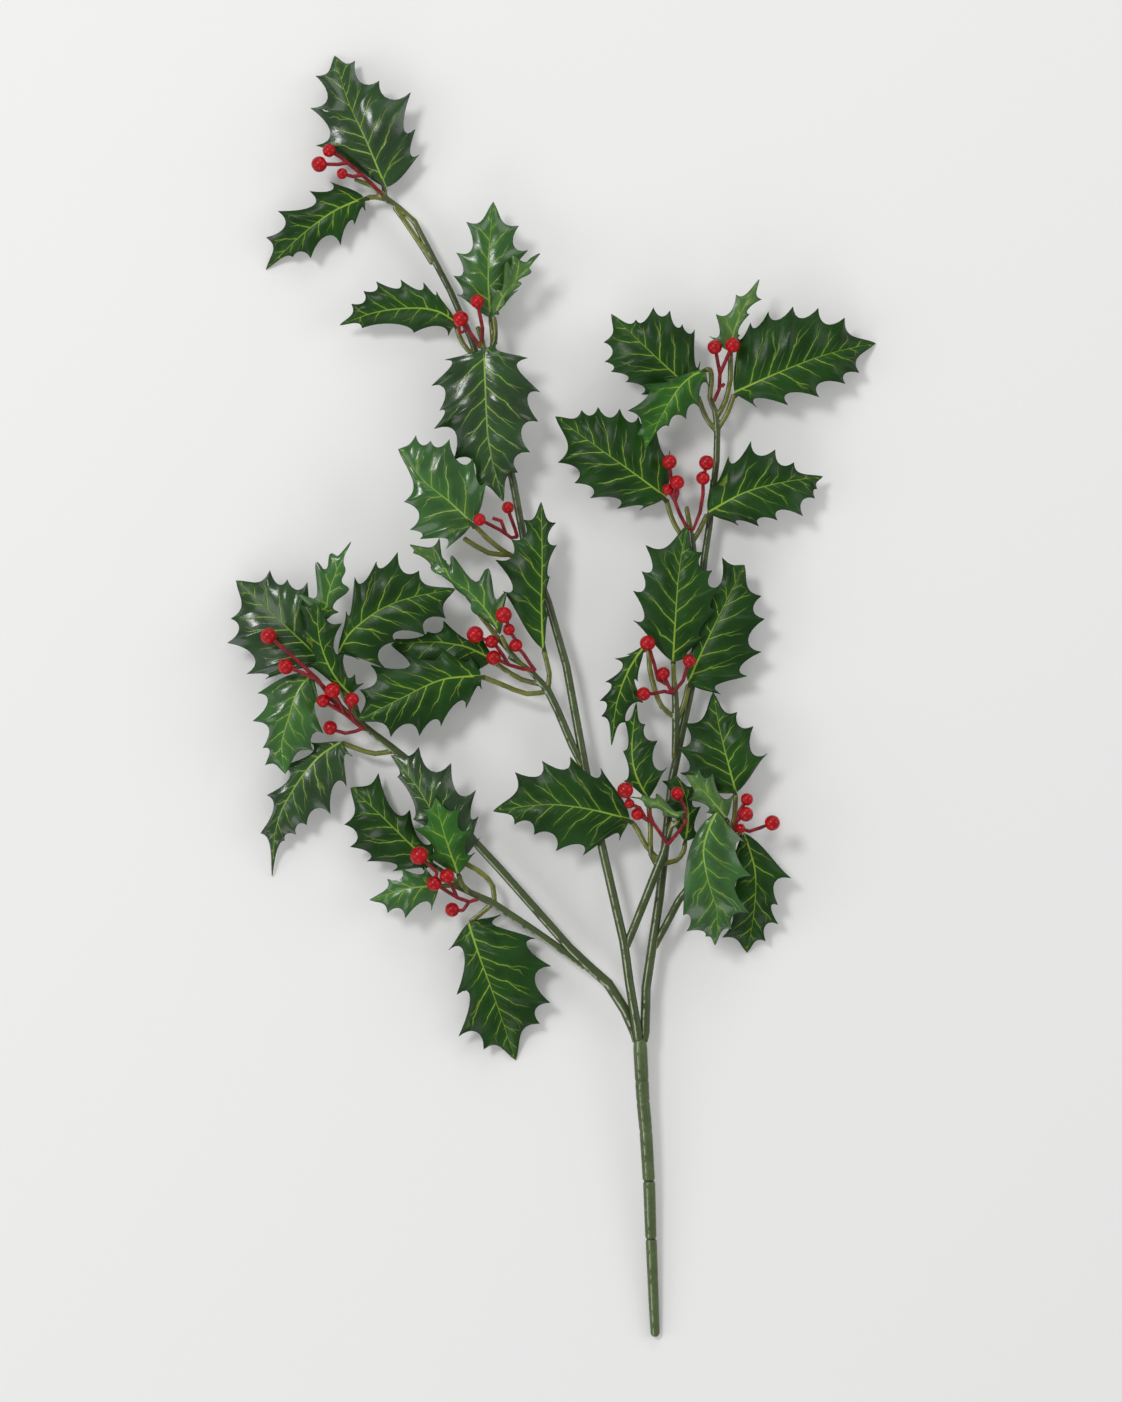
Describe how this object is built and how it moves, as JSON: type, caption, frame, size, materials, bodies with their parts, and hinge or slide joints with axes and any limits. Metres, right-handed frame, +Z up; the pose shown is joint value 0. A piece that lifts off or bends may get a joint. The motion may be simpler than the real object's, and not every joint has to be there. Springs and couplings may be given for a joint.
{
  "type": "artificial holly spray",
  "caption": "Lying artificial holly spray: a jointed cut stem forking into thin branches with spiny, veined leaves and small clusters of round red berries on stalks.",
  "frame": {"origin": "centre of the bounding box at its base, on the surface that the spray lies on", "axes": "+Y along the spray from the cut end of the trunk to the crown leaf's tip, +Z up from the surface, out of the faces of the leaves, +X to the right seen from above with the crown away"},
  "size_m": [0.3538, 0.7012, 0.0432],
  "materials": {
    "stem": "satin moulded dark green",
    "leaf": "glossy embossed dark green with yellow-green veins",
    "pale_leaf": "paler green, seen mostly from its underside",
    "berry": "glossy red berries on dark red stalks"
  },
  "bodies": {
    "root": {"centre_branch": "stem", "centre_side_branch": "stem", "cross_branch": "stem", "left_branch": "stem", "left_side_branch": "stem", "right_branch": "stem", "right_middle_stem": "stem", "right_outer_stem": "stem", "trunk": "stem", "berries_crown": "berry", "berries_inner": "berry", "berries_left": "berry", "berries_lower_left": "berry", "berries_middle": "berry", "berries_right_crown": "berry", "berries_right_lower": "berry", "berries_right_middle": "berry", "berries_right_outer": "berry", "berries_right_upper": "berry", "berries_upper": "berry", "leaf_crown_1": "leaf", "leaf_crown_2": "leaf", "leaf_inner_1": "leaf", "leaf_inner_2": "leaf", "leaf_inner_3": "leaf", "leaf_inner_4": "pale_leaf", "leaf_inner_5": "leaf", "leaf_left_1": "leaf", "leaf_left_2": "leaf", "leaf_left_3": "leaf", "leaf_left_4": "leaf", "leaf_left_5": "leaf", "leaf_left_6": "leaf", "leaf_lower_left_1": "leaf", "leaf_lower_left_2": "leaf", "leaf_lower_left_3": "leaf", "leaf_lower_left_4": "leaf", "leaf_lower_left_5": "leaf", "leaf_middle_1": "leaf", "leaf_right_crown_1": "leaf", "leaf_right_crown_2": "leaf", "leaf_right_crown_3": "pale_leaf", "leaf_right_crown_4": "leaf", "leaf_right_lower_1": "leaf", "leaf_right_lower_2": "leaf", "leaf_right_lower_3": "pale_leaf", "leaf_right_lower_4": "leaf", "leaf_right_middle_1": "leaf", "leaf_right_middle_2": "leaf", "leaf_right_middle_3": "leaf", "leaf_right_outer_1": "leaf", "leaf_right_outer_2": "leaf", "leaf_right_outer_3": "leaf", "leaf_right_outer_4": "leaf", "leaf_right_upper_1": "leaf", "leaf_right_upper_2": "leaf", "leaf_upper_1": "leaf", "leaf_upper_2": "leaf", "leaf_upper_3": "pale_leaf", "leaf_upper_4": "leaf"}
  },
  "joints": []
}
